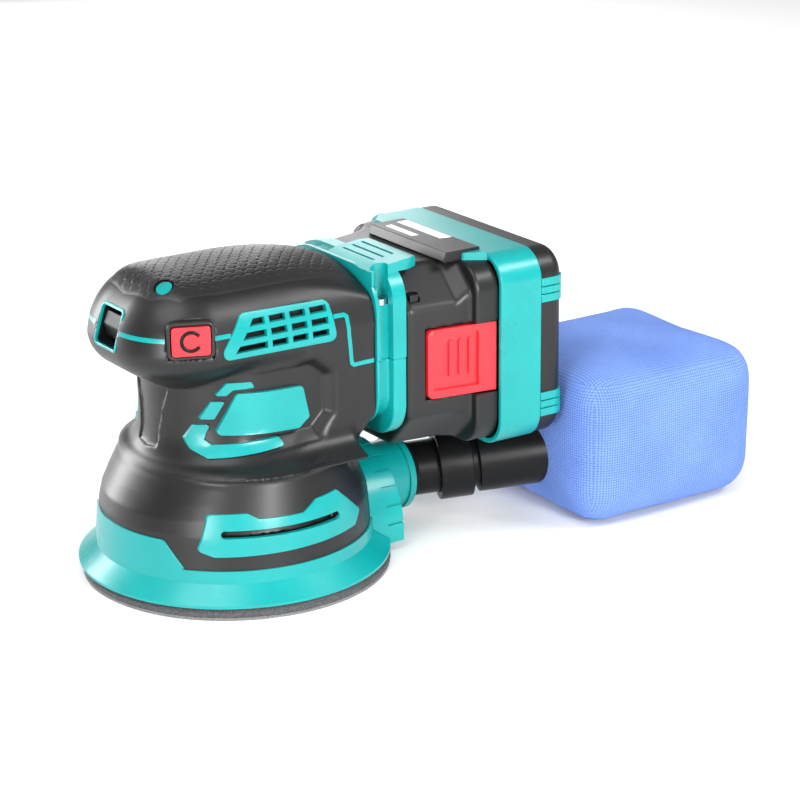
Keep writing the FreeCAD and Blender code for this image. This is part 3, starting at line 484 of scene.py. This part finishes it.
def make_parting_line():
    """Teal stripe in the parting line: nose to button, button to vent, vent to the mount."""
    verts, faces = [], []

    def add(path):
        v, f = ribbon(path, 1.7, 0.14)
        for side in (1, -1):
            begin = len(verts)
            verts.extend((v * (side, 1, 1)).tolist())
            faces.extend([tuple(begin + k for k in (q if side > 0 else q[::-1])) for q in f])

    def level(first, last, count):
        """Points at the parting line's height, between two bearings from the middle of the head."""
        out = []
        for i in range(count):
            t = math.radians(first + (last - first) * i / (count - 1))
            out.append(((0, -22, PARTING_Z), (math.cos(t), math.sin(t), 0), (0, 0, 1)))
        return out

    nose_edge, button_edge = -73.0, -37.5
    add(level(nose_edge, button_edge, 40))
    to_vent = np.linspace(-27.4, -20.0, 12)
    add([((0, y, PARTING_Z - 0.0066 * (y + 20)), (1, 0, 0), (0, 0, 1)) for y in to_vent])
    bends = [(26.0, 107.4), (30.6, 107.4), (31.9, 106.6), (33.5, 87.4), (34.6, 86.5), (MOUNT_Y + 0.4, 86.6)]
    path = []
    for (y0, z0), (y1, z1) in zip(bends, bends[1:]):
        run = math.hypot(y1 - y0, z1 - z0)
        for t in np.linspace(0, 1, max(3, int(run / 1.2))):
            path.append((y0 + (y1 - y0) * t, z0 + (z1 - z0) * t))
    aim = np.gradient(np.array(path), axis=0)
    centre = []
    for (y, z), (dy, dz) in zip(path, aim):
        run = math.hypot(dy, dz) or 1.0
        centre.append(((0, y, z), (1, 0, 0), (0, -dz / run, dy / run)))
    add(centre)
    stripe = solid("parting_line", verts, faces, 50)
    dress(stripe, "teal_plastic")
    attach(stripe, "housing")
    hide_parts("parting_trim")


def make_nose_frame():
    """Teal frame of the rocker's window: it follows the round of the nose."""
    half_wide, half_tall, corner, count = 8.9, 8.3, 2.6, 12
    rim = []
    for sx, sz, first in ((1, 1, 0), (-1, 1, 90), (-1, -1, 180), (1, -1, 270)):
        for i in range(count):
            t = math.radians(first + 90 * i / (count - 1))
            rim.append((sx * (half_wide - corner), sz * (half_tall - corner), math.cos(t), math.sin(t)))
    base_x, base_z, out_x, out_z = np.array(rim).T
    loops = []
    # across the band, from its outer edge to its inner one
    for grow, lift in ((0.0, -0.8), (0.0, 0.2), (-0.25, 0.4), (-0.95, 0.4), (-1.2, 0.2), (-1.2, -0.8)):
        start = np.stack([base_x + out_x * (corner + grow), np.full(len(rim), -25.0),
                          NOSE_Z + base_z + out_z * (corner + grow)], 1)
        at = on_surface(head_field, start, np.array([0, -1.0, 0]), 40)
        loops.append(at + gradient(head_field, at) * lift)
    n, m = len(rim), len(loops)
    verts = np.stack(loops, 1).reshape(-1, 3)
    faces = [(i * m + j, (i + 1) % n * m + j, (i + 1) % n * m + j + 1, i * m + j + 1)
             for i in range(n) for j in range(m - 1)]
    ring = solid("nose_frame", verts, faces, 50)
    dress(ring, "teal_plastic")
    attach(ring, "housing")
    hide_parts("nose_bezel")


# outline of the soft grip seen from above
GRIP = [(-29, -20), (-27, -36), (-17, -45.5), (0, -48), (17, -45.5), (27, -36),
        (29, -20), (29, 44.4), (-29, 44.4)]
GRIP_HALF, GRIP_REACH = 29.0, 46.0      # how far the scales go to the sides, and forwards and backwards
SCALE_HEIGHT = 0.75
SKIN_UP, SKIN_SUNK = 0.13, 0.3          # the skin stands this far out, and dips this far in at its border


def scale_height(x, y):
    """Overlapping round scales, 0 to 1: each row lies over the one before, and they thin out at the sides."""
    pitch, row_pitch, radius = 4.9, 3.1, 2.95
    height = np.zeros(x.shape)
    row0 = np.floor(x / row_pitch)
    for step in (-1, 0, 1):
        row = row0 + step
        shift = np.mod(row, 2) * 0.5
        column = np.floor(y / pitch - shift + 0.5)
        cx, cy = row * row_pitch + 0.3, (column + shift) * pitch
        d = np.hypot((x - cx) * 1.05, y - cy) / radius
        lost = np.mod(np.sin(cx * 12.9898 + cy * 78.233) * 43758.5453, 1.0)
        reach = np.clip((GRIP_HALF - np.abs(cx)) / 9.0, 0, 1) * np.clip((GRIP_REACH - np.abs(cy)) / 4.0, 0, 1)
        shape = np.clip((1 - d) / 0.16, 0, 1)
        tilt = 0.72 - 0.28 * (x - cx) / radius
        shape = shape * shape * (3 - 2 * shape) * tilt * (0.25 + 0.75 * reach)
        height = np.where((d < 1) & (lost < 1.6 * reach), shape, height)
    return height


def make_palm_grip():
    """Soft skin over the crown, with the scales raised on a fine grid."""
    pitch = 0.38
    xs, ys = np.arange(-30, 30 + pitch, pitch), np.arange(-49, 45 + pitch, pitch)
    x, y = (g.reshape(-1) for g in np.meshgrid(xs, ys, indexing="ij"))
    start = np.stack([x, np.minimum(y, MOUNT_Y - 0.3), np.full(x.shape, 104.0)], 1)
    at = on_surface(head_field, start, np.array([0, 0, 1.0]), 26)
    edge = -polygon(x, y, GRIP)
    inset = np.clip(edge / 3.0, 0, 1)
    rise = SCALE_HEIGHT * scale_height(x, y) * np.clip((edge - 2.4) / 6.0, 0, 1)
    rise += SKIN_UP * inset - SKIN_SUNK * (1 - inset)
    verts = at + gradient(head_field, at) * rise[:, None]
    n, m = len(xs), len(ys)
    number = np.arange(n * m).reshape(n, m)
    quads = np.stack([number[:-1, :-1], number[1:, :-1], number[1:, 1:], number[:-1, 1:]], -1)
    quads = quads.reshape(-1, 4)
    plug_hole = np.hypot(x - PLUG_AT[0], y - PLUG_AT[1]) < 3.6
    keep = (edge[quads].min(1) > 0) & ~plug_hole[quads].any(1)
    quads = quads[keep]
    used = np.unique(quads)
    index = np.full(n * m, -1)
    index[used] = np.arange(len(used))
    grip = solid("palm_grip_scales", verts[used], index[quads], 180)
    dress(grip, "soft_grip")
    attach(grip, "housing")
    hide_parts("palm_grip")


# ---------------------------------------------------------------- battery
CORE_FRONT, CORE_END = 58.0, 97.0       # the case's ends
CORE_LOW, CORE_HIGH = 44.6, 119.8       # its underside and top
CORE_LEFT, LEFT_SPREAD = -36.4, 0.27    # its side at the front end, and how fast that side moves out
CORE_RIGHT, RIGHT_SPREAD = 40.6, 0.115
COLLAR_LOW, COLLAR_HIGH = (-45.4, 80.0, 43.6), (47.9, 100.0, 119.9)
COLLAR_EDGE, COLLAR_LEAN = 86.5, 0.82   # front edge of the collar, and slope of the step to the core
CONTACT_Z = (82.0, 91.0, 100.0)         # heights of the slots for the rail's contact blades
POCKET_Z, POCKET_HALF = 81.3, 14.9      # the release button's pocket: middle and half height
POCKET_FRONT, POCKET_FLOOR, POCKET_LEAN = 66.0, 38.6, 0.141


def box_field(p, low, high, r=0.0):
    """Signed distance to a box whose edges have radius r."""
    low, high = np.array(low, float), np.array(high, float)
    q = np.abs(p - (low + high) / 2) - (high - low) / 2 + r
    return np.linalg.norm(np.maximum(q, 0), axis=1) + np.minimum(q.max(1), 0) - r


def battery_field(p):
    """Dark case: a slimmer core that flares with facets to the collar held by the band."""
    x, y, z = p[:, 0], p[:, 1], p[:, 2]
    left = CORE_LEFT - LEFT_SPREAD * (y - CORE_FRONT)
    right = CORE_RIGHT + RIGHT_SPREAD * (y - CORE_FRONT)
    mid_x, half_x = (left + right) / 2, (right - left) / 2
    mid_z, half_z = (CORE_LOW + CORE_HIGH) / 2, (CORE_HIGH - CORE_LOW) / 2
    u, v = np.abs(x - mid_x) - half_x, np.abs(z - mid_z) - half_z
    flare = np.clip((y - COLLAR_LOW[1]) / 10, 0, 1)
    core = rounded_max(u, v, 17.0 - 5.0 * flare)
    facet = (u + v + 15.0 - 7.0 * flare) * 0.7071
    core = smooth_max(core, facet, 1.2)
    core = smooth_max(core, CORE_FRONT - y, 2.6)
    middle = (COLLAR_LOW[1] + COLLAR_HIGH[1]) / 2
    section = np.stack([x, np.full(x.shape, middle), z], 1)
    collar = box_field(section, COLLAR_LOW, COLLAR_HIGH, 12.0)
    collar = smooth_max(collar, (COLLAR_EDGE - y) * COLLAR_LEAN, 1.2)
    form = smooth_max(smooth_min(core, collar, 1.4), y - CORE_END, 0.3)
    pocket = np.maximum(np.abs(z - POCKET_Z) - POCKET_HALF, POCKET_FRONT - y)
    pocket = np.maximum(pocket, POCKET_FLOOR + POCKET_LEAN * (y - 66.1) - x)
    slots = [box_field(p, (-60, 50, 76.6), (38.5, 60.7, 105.4))]
    slots += [box_field(p, (-60, 60.6, 71.6), (38.5, 65.4, 110.4))]
    slots += [box_field(p, (-60, 60, c - 1.1), (8, 70.2, c + 1.1)) for c in CONTACT_Z]
    for cut in [pocket] + slots:
        form = np.maximum(form, -cut)
    return form


def make_battery():
    """Dark case of the battery, as one skin."""
    shell = surface_net("battery_shell", battery_field,
                        low=(-47, 56.6, 42), high=(49.6, 98.4, 121.4), step=0.8)
    dress(shell, "charcoal_plastic")
    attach(shell, "battery")
    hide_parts("battery_case")


def plate(name, outline, low, high, slot, bevel=0.35):
    """Flat-topped piece on the battery with softened edges; its outline is seen from above."""
    mesh = bmesh.new()
    verts = [mesh.verts.new((x * MM, y * MM, low * MM)) for x, y in outline]
    top = mesh.faces.new(verts)
    lifted = bmesh.ops.extrude_face_region(mesh, geom=[top])["geom"]
    for v in [g for g in lifted if isinstance(g, bmesh.types.BMVert)]:
        v.co.z = high * MM
    bmesh.ops.recalc_face_normals(mesh, faces=mesh.faces)
    bmesh.ops.bevel(mesh, geom=list(mesh.edges), offset=bevel * MM, segments=2,
                    affect="EDGES", clamp_overlap=True)
    data = bpy.data.meshes.new(name)
    mesh.to_mesh(data)
    mesh.free()
    for face in data.polygons:
        face.use_smooth = True
    data.set_sharp_from_angle(angle=math.radians(40))
    piece = bpy.data.objects.new(name, data)
    bpy.context.scene.collection.objects.link(piece)
    if slot:
        dress(piece, slot)
    else:
        data.materials.append(WHITE_PRINT)
    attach(piece, "battery")


def make_labels():
    """Teal steps round the label area, and blank white patches where the print would be."""
    teal = "teal_plastic"
    plate("band_step_low", [(-28, 88), (36, 88), (40, 97.4), (-38, 97.4)], 119, 122.7, teal)
    plate("band_step_high", [(-20, 91), (22, 91), (25, 97.4), (-23, 97.4)], 120, 123.5, teal)
    wide = [(-15, 90.5), (16, 90.5), (17, 95.6), (-15, 95.6)]
    small = [(-13, 83.4), (6, 83.4), (6.6, 86.6), (-13, 86.6)]
    plate("label_patch_wide", wide, 123.3, 124.3, None, 0.12)
    plate("label_patch_small", small, 123.8, 124.15, None, 0.1)


def make_button_mark():
    """Open ring on the mode button, over its icon groove."""
    verts, faces = [], []
    count, radius, face_out = 34, 3.7, 0.98
    ring = [(-0.72, 0.0), (-0.45, 0.22), (0.45, 0.22), (0.72, 0.0), (0.0, -0.4)]
    for i in range(count):
        t = math.radians(35 + 290 * i / (count - 1))
        for across, lift in ring:
            r = radius + across
            u, v = r * math.cos(t), r * math.sin(t)
            out = face_out + lift
            x = BUTTON_AT[0] + out * math.cos(BUTTON_TURN) - u * math.sin(BUTTON_TURN)
            y = BUTTON_AT[1] + out * math.sin(BUTTON_TURN) + u * math.cos(BUTTON_TURN)
            verts.append((x, y, BUTTON_AT[2] + v))
    m = len(ring)
    for i in range(count - 1):
        here, there = i * m, (i + 1) * m
        faces += [(here + j, here + (j + 1) % m, there + (j + 1) % m, there + j) for j in range(m)]
    faces += [tuple(range(m))[::-1], tuple(range((count - 1) * m, count * m))]
    mark = solid("button_ring_mark", verts, faces, 60)
    dress(mark, "gloss_black")
    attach(mark, "mode_key")


# ---------------------------------------------------------------- dust bag
BAG_EDGE, CLOTH_GRID = 15.0, 4.6        # round of the bag's edges, grid of its cloth before smoothing
# how far the cloth's starting box lies from the CAD node's box, at its low and its high corner
START_LOW, START_HIGH = (0.5, 0.5, 0.0), (1.5, 1.5, -1.0)
PUFF_LIMIT, SLUMP, RIPPLE = 5.0, 1.6, 0.45
FLOOR_GAP = 0.5


def inflate(bag, frames=20):
    """The bag's vertices in metres before and after a short cloth simulation with air pressure."""
    rest = np.empty(len(bag.data.vertices) * 3)
    bag.data.vertices.foreach_get("co", rest)
    moved = rest.copy()
    cloth = bag.modifiers.new("cloth", "CLOTH")
    s = cloth.settings
    s.quality, s.mass = 6, 0.25
    s.use_pressure, s.uniform_pressure_force = True, 4.0
    s.effector_weights.gravity = 0.0
    s.tension_stiffness = s.compression_stiffness = 40.0
    cloth.collision_settings.use_collision = False
    for step in range(1, frames + 1):
        bpy.context.scene.frame_set(step)
    shown = bag.evaluated_get(bpy.context.evaluated_depsgraph_get())
    shown.data.vertices.foreach_get("co", moved)
    bag.modifiers.remove(cloth)
    bpy.context.scene.frame_set(1)
    return rest.reshape(-1, 3), moved.reshape(-1, 3)


def make_dust_bag():
    """Soft block of woven cloth, puffed by air, that slumps a little at the back and lies on the floor."""
    low, high = (np.array(v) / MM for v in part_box("dust_bag"))
    low, high = low + START_LOW, high + START_HIGH

    def start(p):
        return box_field(p, low, high, BAG_EDGE)

    bag = surface_net("dust_bag_cloth", start, low - 6, high + 6, CLOTH_GRID)
    rest, moved = inflate(bag)
    travel = moved - rest
    length = np.linalg.norm(travel, axis=1, keepdims=True)
    travel *= np.minimum(1.0, PUFF_LIMIT * MM / np.maximum(length, 1e-9))
    at = (rest + travel) / MM
    middle = (low + high) / 2
    size = (high - low) / 2
    u = (at - middle) / size
    at[:, 2] -= SLUMP * np.clip(u[:, 2], 0, 1) * (0.4 + 0.6 * np.clip(u[:, 1], 0, 1))
    ripple = RIPPLE * np.sin(at[:, 0] * 0.11 + at[:, 2] * 0.09) * np.cos(at[:, 1] * 0.10 + 1.0)
    at += (at - middle) / np.linalg.norm(at - middle, axis=1, keepdims=True) * ripple[:, None]
    at[:, 2] = np.maximum(at[:, 2], FLOOR_GAP)
    bag.data.vertices.foreach_set("co", (at * MM).reshape(-1))
    sub = bag.modifiers.new("smooth", "SUBSURF")
    sub.levels = sub.render_levels = 2
    bag.data.set_sharp_from_angle(angle=math.pi)
    dress(bag, "blue_cloth")
    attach(bag, "bag")
    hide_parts("dust_bag")


# ---------------------------------------------------------------- studio
AZIMUTH, ELEVATION, ROLL = (math.radians(v) for v in (56.235, 18.870, -0.501))
AIM, DISTANCE = Vector((0.06674, 0.03662, 0.07958)), 1.0


def make_camera():
    """Long lens at the photo's viewing angle, aimed at AIM from DISTANCE."""
    data = bpy.data.cameras.new("camera")
    data.lens, data.sensor_width = 117.0, 36.0
    data.clip_end = 50.0
    camera = bpy.data.objects.new("camera", data)
    bpy.context.scene.collection.objects.link(camera)
    turn = (Matrix.Rotation(AZIMUTH, 4, "Z") @ Matrix.Rotation(math.pi / 2 - ELEVATION, 4, "X")
            @ Matrix.Rotation(ROLL, 4, "Z"))
    back = turn.to_3x3() @ Vector((0, 0, 1))
    camera.matrix_world = Matrix.Translation(AIM + DISTANCE * back) @ turn
    bpy.context.scene.camera = camera


def area(name, at, aim, size, power):
    """Panel light at a place, turned towards aim; size in metres, power in watts."""
    data = bpy.data.lights.new(name, "AREA")
    data.shape, data.size, data.size_y, data.energy = "RECTANGLE", size[0], size[1], power
    lamp = bpy.data.objects.new(name, data)
    bpy.context.scene.collection.objects.link(lamp)
    lamp.location = at
    lamp.rotation_euler = (Vector(aim) - Vector(at)).to_track_quat("-Z", "Y").to_euler()


def make_floor():
    half = 6.0
    mesh = bpy.data.meshes.new("floor")
    corners = [(-half, -half, 0), (half, -half, 0), (half, half, 0), (-half, half, 0)]
    mesh.from_pydata(corners, [], [(0, 1, 2, 3)])
    floor = bpy.data.objects.new("floor", mesh)
    bpy.context.scene.collection.objects.link(floor)
    s = Shader("floor", rough=0.7)
    s.feed("Base Color", s.mix(s.noise(3, 2), (0.86, 0.86, 0.86, 1), (0.9, 0.9, 0.9, 1)))
    mesh.materials.append(s.mat)


def make_lights():
    """White surroundings, a wide sun from above, and five panels whose reflections draw the highlights."""
    world = bpy.data.worlds.new("studio")
    world.use_nodes = True
    world.node_tree.nodes["Background"].inputs["Color"].default_value = (1, 1, 1, 1)
    world.node_tree.nodes["Background"].inputs["Strength"].default_value = 0.3
    bpy.context.scene.world = world
    sun = bpy.data.lights.new("sun", "SUN")
    sun.energy, sun.angle = 1.7, math.radians(40)
    lamp = bpy.data.objects.new("sun", sun)
    bpy.context.scene.collection.objects.link(lamp)
    lamp.rotation_euler = Vector((-0.25, 0.5, -1.0)).to_track_quat("-Z", "Y").to_euler()
    centre = (0, 0.07, 0.06)
    area("left", (-1.05, -0.5, 0.32), centre, (0.36, 0.64), 12)
    area("key", (1.2, 0.02, 0.42), centre, (0.28, 0.5), 15)
    area("front", (0.64, -0.95, 0.22), centre, (0.25, 0.4), 7)
    area("shoulder", (0.64, 0.7, 0.9), centre, (0.4, 0.3), 6)
    area("back", (-1.0, 0.5, 0.5), centre, (0.5, 0.9), 4)
    bpy.context.scene.view_settings.view_transform = "Standard"


make_camera()
make_floor()
make_lights()
make_housing()
make_parting_line()
make_nose_frame()
make_palm_grip()
make_battery()
make_labels()
make_button_mark()
make_dust_bag()

bpy.context.view_layer.update()
